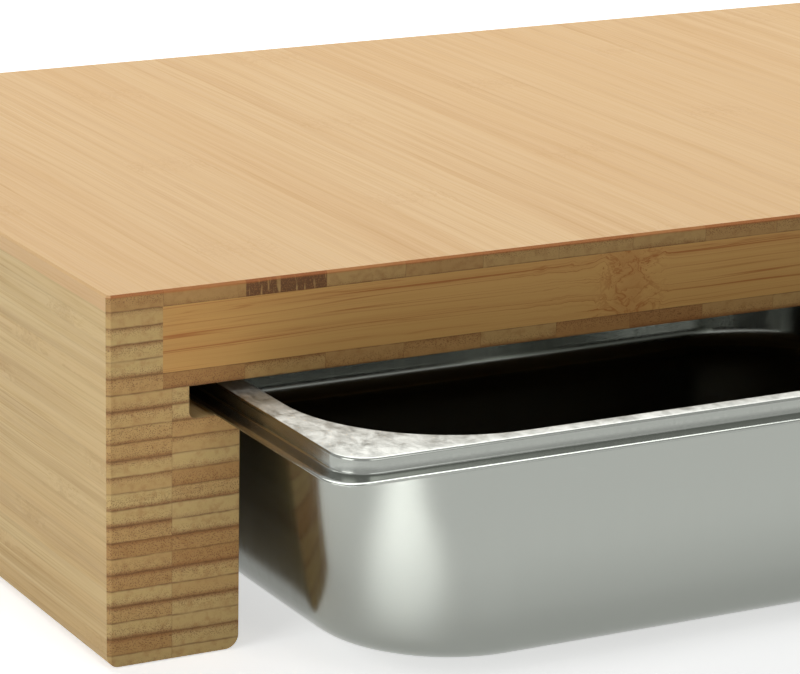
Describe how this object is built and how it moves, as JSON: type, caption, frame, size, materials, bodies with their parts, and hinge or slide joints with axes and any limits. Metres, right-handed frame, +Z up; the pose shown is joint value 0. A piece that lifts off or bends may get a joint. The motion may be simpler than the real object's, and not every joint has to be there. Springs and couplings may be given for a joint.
{
  "type": "cutting board with drawer trays",
  "caption": "Thick laminated bamboo cutting board on side walls, with deep-drawn steel trays that slide out of grooves under it.",
  "frame": {"origin": "under the middle of the whole thing with the large tray pulled out, on the worktop", "axes": "+X along the board's long side towards its right end, -Y out of the front where the trays pull out, +Z up"},
  "size_m": [0.5732, 0.3486, 0.1045],
  "materials": {
    "bamboo_top": "oiled, long grain strips running front to back",
    "bamboo_core": "oiled, long grain strips on edge, running side to side",
    "bamboo_lower": "oiled, long grain strips running front to back",
    "bamboo_wall": "oiled, stacked strips running front to back",
    "tray_steel": "brushed stainless, bright on the rim"
  },
  "bodies": {
    "board": {"top_ply": "bamboo_top", "core": "bamboo_core", "lower_ply": "bamboo_lower", "left_wall_outer": "bamboo_wall", "left_wall_inner": "bamboo_wall", "left_wall_groove": "bamboo_wall", "divider_left": "bamboo_wall", "divider_left_groove": "bamboo_wall", "divider_right": "bamboo_wall", "divider_right_groove": "bamboo_wall", "right_wall_inner": "bamboo_wall", "right_wall_groove": "bamboo_wall", "right_wall_outer": "bamboo_wall"},
    "large_tray": {"large_tray": "tray_steel"},
    "small_tray": {"small_tray": "tray_steel"}
  },
  "joints": [
    {"name": "large_tray_slide", "type": "slide", "parent": "board", "child": "large_tray", "axis": [0, -1, 0], "range_m": [-0.0735, 0.2015]},
    {"name": "small_tray_slide", "type": "slide", "parent": "board", "child": "small_tray", "axis": [0, -1, 0], "range_m": [0, 0.275]}
  ]
}
